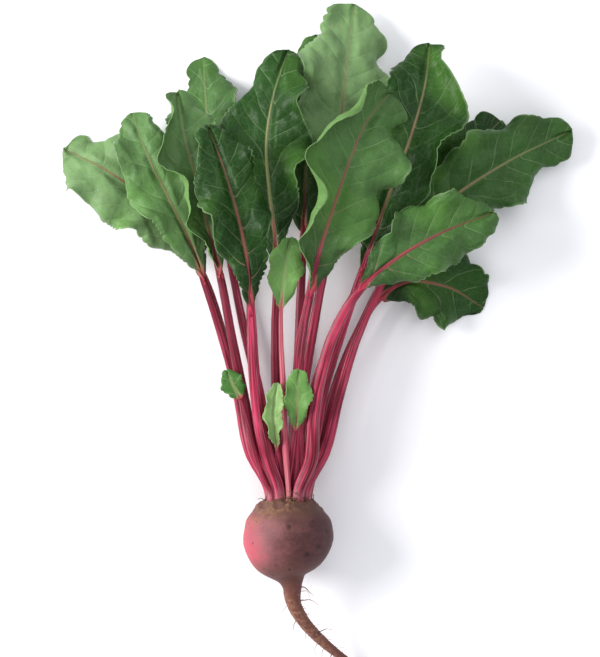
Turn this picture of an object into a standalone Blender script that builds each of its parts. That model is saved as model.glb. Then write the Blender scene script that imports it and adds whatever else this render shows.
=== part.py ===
"""One beetroot lying on its side with its leaves still on: root, leaf stalks and leaf blades.

+Z is up and +Y runs from the root to the leaf tips. The origin is on the small flat spot
under the root, where the beetroot rests. Driving dimensions are in millimetres.
"""

import math
from dataclasses import dataclass

import bmesh
import bpy
import numpy as np
from mathutils import Vector

MM = 0.001
UP = np.array([0.0, 0.0, 1.0])
MERGE = 0.002
NEARBY = 1.0

# Root: centre line and radius, from the middle of the crown to the tip of the taproot
BULB_HEIGHT = 29.7
AXIS_DROP = math.tan(math.radians(6.0))
CROWN_Y = 27.5
BULB_PROFILE = [
    (CROWN_Y, 0.0),
    (CROWN_Y - 0.2, 8.0),
    (CROWN_Y - 0.6, 14.2),
    (CROWN_Y - 1.7, 17.6),
    (23.6, 20.6),
    (20.0, 24.4),
    (14.5, 28.2),
    (8.0, 30.2),
    (1.5, 30.6),
    (-5.5, 28.9),
    (-12.0, 25.8),
    (-17.0, 21.6),
    (-20.6, 16.6),
    (-23.2, 11.8),
]
TAPROOT = [
    (1.8, -26.0, 32.4, 8.6),
    (2.4, -29.5, 32.3, 6.9),
    (2.4, -35.0, 31.6, 5.9),
    (3.6, -42.0, 30.4, 5.1),
    (7.0, -49.5, 28.0, 4.5),
    (12.4, -57.5, 24.7, 4.1),
    (18.8, -65.0, 20.8, 3.8),
    (25.8, -72.0, 17.0, 3.4),
    (34.0, -79.2, 13.2, 3.0),
    (45.5, -88.0, 8.6, 2.6),
    (59.5, -98.0, 4.9, 2.0),
    (76.0, -107.2, 2.7, 1.4),
    (90.8, -113.8, 1.4, 0.9),
    (93.8, -115.0, 1.2, 0.0),
]
ROOT_SIDES = 26
ROOT_STEPS_A_KEY = 1.25
LUMPS = ((2, 0.012), (3, 0.008))
LUMP_TWIST = 9.0
STEADY_SHARE = 0.9

# Rootlets: share of the way down the taproot, turn about it, length and thickness. The shape
# of each is given at five stages from its foot: how far out and down it is, and how thick
ROOTLETS = [
    (0.03, 165, 10.0, 0.9),
    (0.12, 200, 13.0, 0.9),
    (0.20, 15, 7.0, 0.8),
    (0.33, 175, 9.0, 0.8),
    (0.47, 340, 8.0, 0.8),
    (0.60, 150, 9.0, 0.7),
]
ROOTLET_SIDES = 5
ROOTLET_SUNK = 1.4
ROOTLET_OUT = np.array([0.0, 0.25, 0.55, 0.8, 1.0])
ROOTLET_DOWN = np.array([0.0, 0.0, 0.15, 0.22, 0.26])
ROOTLET_TAPER = np.array([1.25, 1.0, 0.8, 0.6, 0.45])
ROOTLET_LEAN = 0.7

# Crown: how far the stalks stand off it, and the dry stubs of old leaves at its edge. Each stub
# leans out through three rings, at these distances from the crown's middle and heights over it
STALK_GAP = 0.5
STALK_RISE = 3.5
STUB_TURNS = (90, 168, 202, 235, 269, 302, 336, 10, 43)
STUB_RINGS = (14.6, 15.8, 16.6)
STUB_HEIGHTS = (-4.0, -0.9, 2.4)
STUB_RADII = (1.9, 1.3, 0.7)

# Leaves: how finely they are divided, and what they share
STALK_SIDES = 8
STALK_STATIONS = 8
STALK_FLATNESS = 0.86
STALK_FOOT = 0.8
STALK_FULL_AT = 35.0
STALK_END = 0.66
RIB_THIN_AT = 0.35
RIB_THIN = 0.28
RIB_TIP = 0.5
BLADE_ROWS = 16
BLADE_COLUMNS = 8
BLADE_THICKNESS = 0.8
BLADE_GAP = 0.75
LOWEST = 0.5
TOOTH = 0.05
LOBE = 0.11
LOBE_RATE = 1.3
RIPPLE = 0.35
RIPPLE_RATE = 2.3
FOOT_WIDTH = 0.1
FOLD_LEFT_AT_TIP = 0.35
FOLD_ROOM = 0.25
SECTION_STEPS = 32


@dataclass
class Leaf:
    """One leaf: its foot's place on the crown, and the route that it takes on to its tip.

    The blade starts at the route's point number base. Pairs are for the left and right halves:
    the angle at which each leaves the midrib, how much that angle changes out to the edge, and
    where its waves begin. Roll turns the leaf about its own line, at the blade's foot and tip.
    The higher the taper, the more the blade narrows to its foot and to its tip.
    """

    name: str
    turn: float
    ring: float
    thickness: float
    base: int
    half_width: float
    route: list
    roll: tuple = (5, 5)
    lift: tuple = (14, 10)
    curl: tuple = (-16, -18)
    wave: float = 45.0
    waves: float = 2.8
    phase: tuple = (0.0, 2.2)
    fullest: float = 0.62
    taper: float = 1.9
    young: bool = False


LEAVES = [
    Leaf("front_left", 118, 13.3, 9.2, 3, 24,
         [(-13, 56, 42), (-19, 81, 47), (-23, 115, 52), (-25, 155, 57), (-27, 186, 61),
          (-33, 218, 66), (-42, 250, 67), (-54, 282, 57)],
         roll=(4, 20), lift=(38, 34), curl=(-52, -62), wave=56, waves=2.4, phase=(0.4, 1.9), taper=2.1),
    Leaf("front_middle", 40, 5.0, 8.4, 3, 37,
         [(6, 57, 33), (6, 95, 40), (8, 135, 48), (14, 168, 56), (19, 192, 62), (29, 224, 69),
          (40, 256, 72), (53, 286, 66), (69, 306, 52)],
         roll=(6, 2), lift=(18, 10), curl=(130, -40), wave=52, waves=2.6, phase=(1.0, 3.1)),
    Leaf("front_right", 60, 13.3, 9.2, 4, 27,
         [(15, 57, 42), (17, 88, 47), (23, 120, 53), (33, 149, 57), (45, 169, 60), (69, 191, 63),
          (101, 210, 61), (138, 225, 48)],
         roll=(-6, -4), lift=(16, 8), curl=(-22, -62), wave=54, waves=2.5, phase=(2.0, 0.6), taper=2.2),
    Leaf("side_left", 151, 13.3, 7.8, 3, 25,
         [(-24, 63, 33), (-31, 101, 36), (-39, 142, 39), (-46, 180, 41), (-55, 216, 43),
          (-63, 248, 46), (-71, 279, 45), (-76, 308, 35)],
         roll=(8, 10), lift=(20, 20), curl=(112, -42), wave=50, waves=2.6, phase=(0.0, 1.3)),
    Leaf("middle_left", 178, 5.8, 7.6, 3, 30,
         [(-5, 56, 28), (-8, 98, 31), (-9, 146, 34), (-8, 180, 36), (-9, 208, 38), (-13, 240, 41),
          (-15, 273, 44), (-10, 306, 44), (0, 337, 34)],
         roll=(0, -20), lift=(-2, 10), curl=(-24, 10), wave=48, waves=2.9, phase=(2.6, 0.2),
         taper=2.6),
    Leaf("middle_top", 255, 6.0, 7.6, 4, 32,
         [(6, 63, 22), (11, 111, 24.5), (19, 159, 27), (27, 200, 29), (32, 226, 28), (34, 252, 28),
          (36, 290, 28), (40, 330, 25), (45, 372, 12)],
         roll=(2, 14), lift=(8, 8), curl=(-24, -34), wave=42, waves=3.1, phase=(1.4, 2.7)),
    Leaf("middle_right", 322, 6.6, 7.6, 3, 33,
         [(15.5, 63, 27), (24, 104, 31), (37, 146, 34), (49, 182, 36), (58, 209, 38),
          (71, 245, 45), (84, 280, 46), (93, 313, 41), (97, 342, 27)],
         roll=(4, -8), lift=(14, 8), curl=(-16, 66), wave=44, waves=2.7, phase=(0.5, 5.2),
         taper=2.3),
    Leaf("far_right", 26, 13.3, 7.8, 3, 29,
         [(25, 63, 29.5), (34, 98, 31), (46, 138, 31), (62, 174, 31), (78, 200, 30), (106, 231, 29),
          (148, 260, 25), (196, 284, 11)],
         roll=(0, 12), lift=(8, 10), curl=(-18, -40), wave=54, waves=3.2, phase=(2.2, 1.0)),
    Leaf("far_left", 218, 13.3, 7.8, 3, 31,
         [(-27, 63, 17), (-35, 101, 16), (-46, 144, 16), (-58, 180, 18), (-70, 205, 20),
          (-94, 233, 23), (-123, 254, 20), (-157, 272, -1)],
         roll=(0, 20), lift=(16, 6), curl=(-40, -4), wave=50, waves=2.7, phase=(0.9, 2.4)),
    Leaf("outer_left", 185, 13.3, 7.4, 3, 24,
         [(-27, 63, 25), (-35, 101, 26), (-46, 142, 28), (-57, 176, 30), (-66, 202, 32),
          (-82, 236, 36), (-97, 266, 35), (-108, 295, 22)],
         roll=(8, 8), lift=(10, 6), curl=(-20, -16), wave=42, waves=2.5, phase=(1.5, 0.2), taper=2.3),
    Leaf("low_left", 252, 13.3, 7.4, 3, 27,
         [(-13, 62, 10), (-21, 104, 8), (-32, 150, 7), (-40, 190, 8), (-46, 222, 10),
          (-52, 260, 13), (-57, 298, 11), (-60, 336, -1.5)],
         roll=(0, -12), curl=(-24, -24), wave=44, waves=2.9, phase=(1.8, 0.3), taper=2.6),
    Leaf("low_middle", 286, 13.3, 7.4, 3, 29,
         [(3, 62, 9), (6, 111, 7), (8, 164, 7), (10, 208, 8), (11, 236, 10), (13, 272, 13),
          (17, 312, 11), (20, 350, -1.5)],
         roll=(0, 0), curl=(-22, -22), wave=44, waves=3.0, phase=(0.1, 1.6)),
    Leaf("low_right", 319, 13.3, 7.4, 3, 27,
         [(11, 69, 9), (20, 111, 7), (40, 160, 7), (60, 192, 8), (75, 212, 9), (98, 240, 11),
          (122, 266, 9), (148, 292, -1.5)],
         roll=(0, 0), curl=(-22, -22), wave=44, waves=2.6, phase=(2.9, 1.1)),
    Leaf("side_right", 353, 13.3, 7.6, 3, 28,
         [(22, 62, 15), (32, 104, 13), (47, 142, 13), (61, 166, 14), (83, 179, 17), (108, 176, 16),
          (135, 162, -1.5)],
         roll=(0, 0), lift=(10, 10), curl=(-24, -34), wave=46, waves=2.4, phase=(1.2, 2.8)),
    Leaf("young_middle", 90, 12.4, 4.2, 4, 12,
         [(-1.5, 57, 43), (-2.7, 78, 45.5), (-3.6, 108, 48.5), (-5, 139, 50), (-5.1, 157, 50.5),
          (-2.4, 184, 51), (1, 208, 49)],
         roll=(0, 0), lift=(20, 14), curl=(-30, -24), wave=30, waves=2.2, phase=(0.3, 1.7),
         young=True),
    Leaf("young_right", 95, 7.4, 4.4, 1, 9.5,
         [(2, 57, 40), (4.5, 76, 46), (6, 95, 52), (7, 119, 55)],
         roll=(0, 0), lift=(38, 30), curl=(-20, -20), wave=30, waves=2.0, young=True),
    Leaf("young_left", 115, 3.4, 3.2, 1, 7.5,
         [(-4.8, 50, 37), (-7.4, 63, 43), (-9.6, 78, 50), (-10, 93, 53), (-7.5, 110, 51.5)],
         roll=(0, 0), lift=(35, 35), curl=(40, 40), wave=30, waves=3.0, phase=(0.5, 2.0),
         young=True),
    Leaf("young_outer", 134, 17.0, 3.0, 3, 7.8,
         [(-16.5, 42, 41.5), (-22, 60, 43.5), (-27, 80, 44.5), (-32.5, 99, 45), (-37.5, 108, 46),
          (-42, 118, 43)],
         roll=(0, 0), lift=(10, 8), curl=(-30, -24), wave=24, waves=1.6, phase=(0.6, 2.4),
         fullest=0.52, taper=1.3, young=True),
]


def smooth_line(keys, at):
    """Points of a smooth curve through the keys, at these distances along the keys' polygon."""
    keys = np.asarray(keys, float)
    spans = np.linalg.norm(np.diff(keys, axis=0), axis=1)
    place = np.concatenate([[0.0], np.cumsum(spans)])
    chords = np.diff(keys, axis=0) / spans[:, None]
    slopes = np.vstack([chords[:1], chords[:-1], chords[-1:]])
    before, after = spans[:-1, None], spans[1:, None]
    slopes[1:-1] = (chords[:-1] * after + chords[1:] * before) / (before + after)
    at = np.clip(at, 0.0, place[-1])
    span = np.clip(np.searchsorted(place, at, side="right") - 1, 0, len(spans) - 1)
    width = spans[span][:, None]
    u = (at - place[span])[:, None] / width
    return (
        keys[span] * (2 * u**3 - 3 * u**2 + 1)
        + keys[span + 1] * (3 * u**2 - 2 * u**3)
        + slopes[span] * width * (u**3 - 2 * u**2 + u)
        + slopes[span + 1] * width * (u**3 - u**2)
    )


def key_distances(keys):
    """How far along the polygon of the keys each key is."""
    spans = np.linalg.norm(np.diff(np.asarray(keys, float), axis=0), axis=1)
    return np.concatenate([[0.0], np.cumsum(spans)])


def unit(vectors):
    return vectors / np.linalg.norm(vectors, axis=-1, keepdims=True)


def frames(points):
    """The forward, sideways and upward directions along a line of points."""
    forward = unit(np.gradient(points, axis=0))
    side = unit(np.cross(forward, UP))
    return forward, side, np.cross(side, forward)


def steady_frames(centres, radii):
    """As frames, but averaged over about a radius of the line, so that wide rings don't cross."""
    at = key_distances(centres)
    spread = STEADY_SHARE * radii[:, None] + NEARBY
    weight = np.exp(-(((at[:, None] - at) / spread) ** 2)) * np.gradient(at)
    forward = unit(weight @ unit(np.gradient(centres, axis=0)))
    side = unit(np.cross(forward, UP))
    return forward, side, np.cross(side, forward)


def rolled(side, up, degrees):
    """The side and up directions turned about the line, so that the right side goes down."""
    turn = np.radians(degrees)[:, None]
    return side * np.cos(turn) - up * np.sin(turn), up * np.cos(turn) + side * np.sin(turn)


def mapped_grid(columns, rows, points):
    """A bmesh of a grid of columns by rows quads, its corners moved to points[row][column]."""
    bm = bmesh.new()
    bmesh.ops.create_grid(bm, x_segments=columns, y_segments=rows, size=1.0)
    for vert in bm.verts:
        column = round((vert.co.x + 1.0) / 2.0 * columns)
        row = round((vert.co.y + 1.0) / 2.0 * rows)
        vert.co = Vector(points[row][column]) * MM
    return bm


def tube(rings):
    """A closed bmesh through rings of points, each ring with its first point again at its end."""
    bm = mapped_grid(len(rings[0]) - 1, len(rings) - 1, rings)
    bmesh.ops.remove_doubles(bm, verts=bm.verts, dist=MERGE * MM)
    bmesh.ops.holes_fill(bm, edges=bm.edges, sides=0)
    bmesh.ops.recalc_face_normals(bm, faces=bm.faces)
    return bm


def material(name, colour, roughness):
    made = bpy.data.materials.new(name)
    made.use_nodes = True
    shader = made.node_tree.nodes["Principled BSDF"]
    shader.inputs["Base Color"].default_value = (*colour, 1.0)
    shader.inputs["Roughness"].default_value = roughness
    shader.inputs["Metallic"].default_value = 0.0
    return made


def object_from(bm, name, finish):
    """An object of the scene made from a bmesh, with one material."""
    mesh = bpy.data.meshes.new(name)
    bm.to_mesh(mesh)
    bm.free()
    mesh.materials.append(finish)
    mesh.shade_smooth()
    made = bpy.data.objects.new(name, mesh)
    bpy.context.scene.collection.objects.link(made)
    return made


def axis_point(y):
    """The point of the root's straight axis at this distance along +Y."""
    return np.array([0.0, y, BULB_HEIGHT - AXIS_DROP * y])


def root_keys():
    straight = [(*axis_point(y), radius) for y, radius in BULB_PROFILE]
    return np.array(straight + TAPROOT)


def root_body():
    """The swollen root and its taproot, as one closed bmesh with the flat spot that it rests on."""
    keys = root_keys()
    places = key_distances(keys)
    steps = round(len(keys) * ROOT_STEPS_A_KEY)
    at = np.interp(np.linspace(0, len(keys) - 1, steps), np.arange(len(keys)), places)
    line = smooth_line(keys, at)
    centres, radii = line[:, :3], np.maximum(line[:, 3], 0.0)
    radii[0] = radii[-1] = 0.0
    _, side, up = steady_frames(centres, radii)
    turns = np.linspace(0, 2 * math.pi, ROOT_SIDES + 1)
    rings = []
    for centre, radius, across, rise in zip(centres, radii, side, up):
        lumps = 1 + sum(size * np.cos(count * turns + centre[1] / LUMP_TWIST) for count, size in LUMPS)
        spokes = np.outer(np.cos(turns), across) + np.outer(np.sin(turns), rise)
        rings.append(centre + spokes * (radius * lumps)[:, None])
    bm = tube(rings)
    bmesh.ops.bisect_plane(
        bm, geom=bm.verts[:] + bm.edges[:] + bm.faces[:], dist=MERGE * MM,
        plane_co=(0, 0, 0), plane_no=(0, 0, -1), clear_outer=True,
    )
    bmesh.ops.holes_fill(bm, edges=bm.edges, sides=0)
    bmesh.ops.recalc_face_normals(bm, faces=bm.faces)
    return bm


def tapered_sprig(points, radii, sides):
    """A thin closed tube through a few points, for a rootlet or a stub."""
    _, across, rise = frames(points)
    turns = np.linspace(0, 2 * math.pi, sides + 1)
    rings = [
        point + radius * (np.outer(np.cos(turns), a) + np.outer(np.sin(turns), r))
        for point, radius, a, r in zip(points, radii, across, rise)
    ]
    return tube(rings)


def rootlet(share, turn, length, thickness):
    """A fine root that leaves the taproot sideways and bends back towards its tip."""
    keys = np.array(TAPROOT)
    places = key_distances(keys[:, :3])
    centre = smooth_line(keys, share * places[-1] + np.array([0.0, NEARBY]))
    forward = unit(centre[1, :3] - centre[0, :3])
    side = unit(np.cross(forward, UP))
    up = np.cross(side, forward)
    angle = math.radians(turn)
    out = side * math.cos(angle) + up * math.sin(angle)
    start = centre[0, :3] + out * (centre[0, 3] - ROOTLET_SUNK)
    lean = ROOTLET_LEAN * ROOTLET_OUT**2
    path = np.outer(ROOTLET_OUT, out) + np.outer(lean, forward) - np.outer(ROOTLET_DOWN, UP)
    points = start + length * path
    points[:, 2] = np.maximum(points[:, 2], thickness)
    return tapered_sprig(points, thickness / 2 * ROOTLET_TAPER, ROOTLET_SIDES)


def crown_point(turn, ring, height):
    """A point over the crown, at this turn and distance from its middle and this height."""
    axis = unit(np.array([0.0, 1.0, -AXIS_DROP]))
    rise = np.array([0.0, -axis[2], axis[1]])
    angle = math.radians(turn)
    out = np.array([math.cos(angle), 0.0, 0.0]) + rise * math.sin(angle)
    return axis_point(CROWN_Y) + axis * height + out * ring


def stub(turn):
    """The dry end of an old leaf stalk at the edge of the crown."""
    places = zip(STUB_RINGS, STUB_HEIGHTS)
    points = np.array([crown_point(turn, ring, height) for ring, height in places])
    return tapered_sprig(points, STUB_RADII, ROOTLET_SIDES)


def join_union(body, extras, finish):
    """Fuses the extra shapes into the body with one Boolean union, and removes them."""
    group = bpy.data.collections.new("fused")
    bpy.context.scene.collection.children.link(group)
    for number, bm in enumerate(extras):
        extra = object_from(bm, f"fused_{number}", finish)
        bpy.context.scene.collection.objects.unlink(extra)
        group.objects.link(extra)
    union = body.modifiers.new("union", "BOOLEAN")
    union.operation = "UNION"
    union.operand_type = "COLLECTION"
    union.collection = group
    union.solver = "EXACT"
    bpy.context.view_layer.update()
    graph = bpy.context.evaluated_depsgraph_get()
    joined = bpy.data.meshes.new_from_object(body.evaluated_get(graph))
    body.modifiers.clear()
    body.data = joined
    for extra in list(group.objects):
        bpy.data.objects.remove(extra)
    bpy.data.collections.remove(group)


def make_root(skin):
    body = object_from(root_body(), "root", skin)
    extras = [rootlet(*one) for one in ROOTLETS] + [stub(turn) for turn in STUB_TURNS]
    join_union(body, extras, skin)
    return body


def leaf_keys(leaf):
    """The leaf's route from its foot on the crown to its tip, and where its blade starts."""
    foot = crown_point(leaf.turn, leaf.ring, STALK_GAP)
    rise = crown_point(leaf.turn, leaf.ring, STALK_GAP + STALK_RISE)
    keys = np.array([foot, rise, *leaf.route], float)
    return keys, key_distances(keys)[leaf.base + 2]


def stalk_radius(leaf, at, start, end):
    """Half the width of the stalk, and of the midrib that it becomes, at distances along it."""
    half = leaf.thickness / 2
    places = [0, STALK_FULL_AT, start, start + RIB_THIN_AT * (end - start), end]
    return np.interp(at, places, [STALK_FOOT * half, half, STALK_END * half, RIB_THIN * half, RIB_TIP])


def leaf_line(leaf, at):
    """Centre points of the stalk and midrib, with their side and up directions."""
    keys, start = leaf_keys(leaf)
    end = key_distances(keys)[-1]
    points = smooth_line(keys, at)
    before, after = np.clip(at - NEARBY, 0, end), np.clip(at + NEARBY, 0, end)
    forward = unit(smooth_line(keys, after) - smooth_line(keys, before))
    side = unit(np.cross(forward, UP))
    up = np.cross(side, forward)
    side, up = rolled(side, up, np.interp(at, [0, start, end], [0, *leaf.roll]))
    return points, side, up


def make_stalk(leaf, finish):
    keys, start = leaf_keys(leaf)
    end = key_distances(keys)[-1]
    bare = start * np.linspace(0, 1, STALK_STATIONS)
    rib = start + (end - start) * np.linspace(0, 1, BLADE_ROWS + 1)[2:-1:2]
    at = np.concatenate([bare, rib])
    points, side, up = leaf_line(leaf, at)
    radii = stalk_radius(leaf, at, start, end)
    turns = np.linspace(0, 2 * math.pi, STALK_SIDES + 1)
    rings = [
        point + radius * (np.outer(np.cos(turns), a) + STALK_FLATNESS * np.outer(np.sin(turns), r))
        for point, radius, a, r in zip(points, radii, side, up)
    ]
    return object_from(tube(rings), f"stalk_{leaf.name}", finish)


def outline(leaf, along):
    """Half the blade's width along it, from its foot on the stalk to its rounded tip."""
    low, high = leaf.taper * leaf.fullest, leaf.taper * (1 - leaf.fullest)
    peak = leaf.fullest**low * (1 - leaf.fullest) ** high
    full = along**low * np.clip(1 - along, 0, 1) ** high / peak
    return leaf.half_width * np.maximum(full, FOOT_WIDTH)


def half_blade(leaf, hand, along, shares, edge):
    """One half of a blade: how far out and up from the midrib, as [row][share across].

    Each row leaves the midrib at the leaf's lift, and its slope then changes by curl and waves.
    """
    phase = leaf.phase[hand]
    turns = 2 * math.pi * leaf.waves * along
    waves = np.sin(turns + phase) + RIPPLE * np.sin(RIPPLE_RATE * turns + 3 * phase)
    fold = leaf.lift[hand] * (1 - (1 - FOLD_LEFT_AT_TIP) * along)
    fine = np.linspace(0, 1, SECTION_STEPS + 1)
    slope = np.outer(fold, np.minimum(1, fine / FOLD_ROOM))
    slope = np.radians(slope + np.outer(leaf.curl[hand] + leaf.wave * waves, fine**2))
    slope = (slope[:, 1:] + slope[:, :-1]) / 2
    shape = np.exp(1j * slope).cumsum(axis=1) / SECTION_STEPS
    shape = np.hstack([np.zeros((len(along), 1)), shape])
    shape = np.array([np.interp(shares, fine, row) for row in shape])
    reach = outline(leaf, along) * (1 + LOBE * np.sin(LOBE_RATE * turns + 2 * phase)) * edge
    return shape.real * reach[:, None], shape.imag * reach[:, None]


def blade_points(leaf, rows, columns):
    """The blade's middle surface, as points[row][column]."""
    keys, start = leaf_keys(leaf)
    end = key_distances(keys)[-1]
    along = np.linspace(0, 1, rows + 1)
    at = start + (end - start) * along
    centres, side, up = leaf_line(leaf, at)
    cover = stalk_radius(leaf, at, start, end) * STALK_FLATNESS + BLADE_GAP + BLADE_THICKNESS / 2
    edge = 1 + TOOTH * np.where(np.arange(rows + 1) % 2, 1, -1)
    shares = np.linspace(0, 1, columns // 2 + 1)
    left_out, left_rise = half_blade(leaf, 0, along, shares, edge)
    right_out, right_rise = half_blade(leaf, 1, along, shares, edge)
    out = np.hstack([-left_out[:, :0:-1], right_out])[:, :, None]
    rise = (np.hstack([left_rise[:, :0:-1], right_rise]) + cover[:, None])[:, :, None]
    points = centres[:, None] + side[:, None] * out + up[:, None] * rise
    points[:, :, 2] = np.maximum(points[:, :, 2], LOWEST)
    return points


def make_blade(leaf, finish):
    bm = mapped_grid(BLADE_COLUMNS, BLADE_ROWS, blade_points(leaf, BLADE_ROWS, BLADE_COLUMNS))
    bmesh.ops.triangulate(bm, faces=bm.faces, quad_method="FIXED")
    blade = object_from(bm, f"blade_{leaf.name}", finish)
    wall = blade.modifiers.new("wall", "SOLIDIFY")
    wall.thickness = BLADE_THICKNESS * MM
    wall.offset = 0.0
    return blade


def main():
    for old in list(bpy.data.objects):
        bpy.data.objects.remove(old)
    skin = material("root_skin", (0.26, 0.085, 0.095), 0.6)
    stalk = material("stalk", (0.42, 0.02, 0.075), 0.35)
    green = material("leaf_green", (0.045, 0.13, 0.03), 0.5)
    pale = material("young_leaf_green", (0.16, 0.28, 0.09), 0.5)
    make_root(skin)
    for leaf in LEAVES:
        make_stalk(leaf, stalk)
        make_blade(leaf, pale if leaf.young else green)


main()
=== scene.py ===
"""The looks of one beetroot: a dust-dulled purple root with crimson stalks and wavy green leaves.

Every piece is worked out in millimetres in the frame's own axes: +Y runs from the root to the
leaf tips and +Z is up. The leaf table and the routes are those of the solids.
"""

import math
from dataclasses import dataclass

import bmesh
import bpy
import numpy as np
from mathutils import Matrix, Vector, noise


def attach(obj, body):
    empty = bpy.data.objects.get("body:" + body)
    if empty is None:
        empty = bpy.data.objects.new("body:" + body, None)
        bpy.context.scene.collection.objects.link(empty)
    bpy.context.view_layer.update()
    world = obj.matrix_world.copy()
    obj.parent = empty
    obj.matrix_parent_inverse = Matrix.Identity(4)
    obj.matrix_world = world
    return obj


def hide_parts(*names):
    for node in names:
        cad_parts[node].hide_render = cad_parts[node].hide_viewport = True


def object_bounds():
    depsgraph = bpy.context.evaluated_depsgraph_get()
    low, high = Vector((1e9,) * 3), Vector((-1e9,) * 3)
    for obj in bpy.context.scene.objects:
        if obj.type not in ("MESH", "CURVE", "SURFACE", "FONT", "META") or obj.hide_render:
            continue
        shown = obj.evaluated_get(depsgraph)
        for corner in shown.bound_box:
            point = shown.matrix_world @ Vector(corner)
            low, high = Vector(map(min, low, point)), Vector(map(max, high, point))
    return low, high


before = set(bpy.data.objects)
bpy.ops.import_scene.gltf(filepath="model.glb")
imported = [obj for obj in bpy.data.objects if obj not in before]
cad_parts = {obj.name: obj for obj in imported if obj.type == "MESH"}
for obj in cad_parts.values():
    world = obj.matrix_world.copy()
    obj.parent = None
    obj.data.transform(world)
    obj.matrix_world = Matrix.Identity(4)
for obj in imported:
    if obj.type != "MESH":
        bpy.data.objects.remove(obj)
solid_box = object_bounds()

MM = 0.001
UP = np.array([0.0, 0.0, 1.0])
TURN = 2 * math.pi
SAME_POINT = 0.002
draws = np.random.default_rng(seed=7)

# Root: centre line and radius, from the middle of the crown to the tip of the taproot
BULB_HEIGHT = 29.7
AXIS_DROP = math.tan(math.radians(6.0))
CROWN_Y = 27.5
BULB_PROFILE = [
    (CROWN_Y, 0.0),
    (CROWN_Y - 0.2, 8.0),
    (CROWN_Y - 0.6, 14.2),
    (CROWN_Y - 1.7, 17.6),
    (23.6, 20.6),
    (20.0, 24.4),
    (14.5, 28.2),
    (8.0, 30.2),
    (1.5, 30.6),
    (-5.5, 28.9),
    (-12.0, 25.8),
    (-17.0, 21.6),
    (-20.6, 16.6),
    (-23.2, 11.8),
]
TAPROOT = [
    (1.8, -26.0, 32.4, 8.6),
    (2.4, -29.5, 32.3, 6.9),
    (2.4, -35.0, 31.6, 5.9),
    (3.6, -42.0, 30.4, 5.1),
    (7.0, -49.5, 28.0, 4.5),
    (12.4, -57.5, 24.7, 4.1),
    (18.8, -65.0, 20.8, 3.8),
    (25.8, -72.0, 17.0, 3.4),
    (34.0, -79.2, 13.2, 3.0),
    (45.5, -88.0, 8.6, 2.6),
    (59.5, -98.0, 4.9, 2.0),
    (76.0, -107.2, 2.7, 1.4),
    (90.8, -113.8, 1.4, 0.9),
    (93.8, -115.0, 1.2, 0.0),
]
ROOT_SIDES = 200
ROOT_RINGS = 330
STEADY_SHARE = 0.9
STEADY_LEAST = 1.0
LUMPS = ((2, 0.012), (3, 0.008))
LUMP_TWIST = 9.0

# Where the root's features come in, from low to high, along Y or by the root's radius there
BULB_FROM = (-34.0, -22.0)
SWELL_FROM = (8.0, 18.0)
CORK_FROM = (12.0, 24.0)
RIM_FROM = (20.0, 24.0)
RIM_RADII = (9.0, 13.0)
SWELL_RADII = (8.0, 19.0)
BROAD_RADII = (0.0, 12.0)
RINGED_RADII = (0.6, 4.0)
SMOOTH_UNDER = 1.5

# The root's relief: its height, the size of its lumps and the seed of its noise
ROLLS = (0.35, 16.0, 0.0)
PITS = (0.12, 3.5, 0.0)
CORK = (0.45, 2.2, 3.0)
CORK_PATCHES = (1.0, 7.0, 0.0)
PATCHY_FROM = (-0.2, 0.5)
KNOBS = (0.42, 4.5, 9.0)
SWELL = (0.9, 22.0, 12.0)
SWELL_HEIGHT = 1.35
RIM_BROAD = (2.6, 6.5, 7.0)
RIM_FINE = (1.3, 2.6, 8.0)
RIM_HEIGHT = 1.3
RINGS = (0.10, 3.1)
RING_DRIFT = (2.0, 11.0, 5.0)

# Rootlets: share of the way down the taproot, turn about it, length and thickness
ROOTLETS = [
    (0.03, 165, 10.0, 0.9),
    (0.12, 200, 13.0, 0.9),
    (0.20, 15, 7.0, 0.8),
    (0.33, 175, 9.0, 0.8),
    (0.47, 340, 8.0, 0.8),
    (0.60, 150, 9.0, 0.7),
]
ROOTLET_SUNK = 1.4
ROOTLET_LEAN = 0.7
ROOTLET_DROOP = 0.26
ROOTLET_SWINGS = 9.0
ROOTLET_SLANT = 0.4
ROOTLET_AHEAD = 2.0
ROOTLET_LOWEST = 0.3
ROOTLET_PLACES = (0.0, 0.25, 0.6, 1.0)
ROOTLET_TAPER = (1.25, 0.9, 0.6, 0.25)
ROOTLET_SIDES = 6
ROOTLET_STEPS = 20
ROOTLET_CURL = 0.05
HAIRS = 46
HAIR_SHARES = (0.02, 0.8)
HAIR_SPREAD = (-60, 60)
HAIR_LENGTHS = (4, 15)
HAIR_SHRINK = 0.5
HAIR_WIDTHS = (0.25, 0.5)
HAIR_STEPS = 14
HAIR_CURL = 0.16

# Crown: the stalks' feet, old stalk ends and dry fibres; a tear is a count, depth and shift
STALK_GAP = 0.5
STALK_RISE = 3.5
STUB_TURNS = (90, 168, 202, 235, 269, 302, 336, 10, 43)
STUB_RINGS = (14.6, 15.8, 16.6)
STUB_HEIGHTS = (-4.0, -0.9, 2.4)
STUB_RADII = (1.9, 1.3, 0.7)
STUB_WIDTHS = (1.1, 1.7)
STUB_TALLNESS = (0.5, 1.2)
STUB_DEPTH = 0.8
STUB_STEPS = 16
STUB_SIDES = 24
STUB_TORN_FROM = 0.3
STUB_TEARS = ((5, 0.35, 1), (9, 0.2, 3))
FIBRES = 26
FIBRE_RINGS = (15.2, 17.2)
FIBRE_LENGTHS = (5, 13)
FIBRE_SWEEPS = (-50, 50)
FIBRE_BENDS = (1.2, 2.6)
FIBRE_LEANS = (0.0, 0.35)
FIBRE_SUNK = 1.5
FIBRE_RADII = (0.34, 0.14)
FIBRE_STEPS = 16
FIBRE_SIDES = 5

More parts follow.
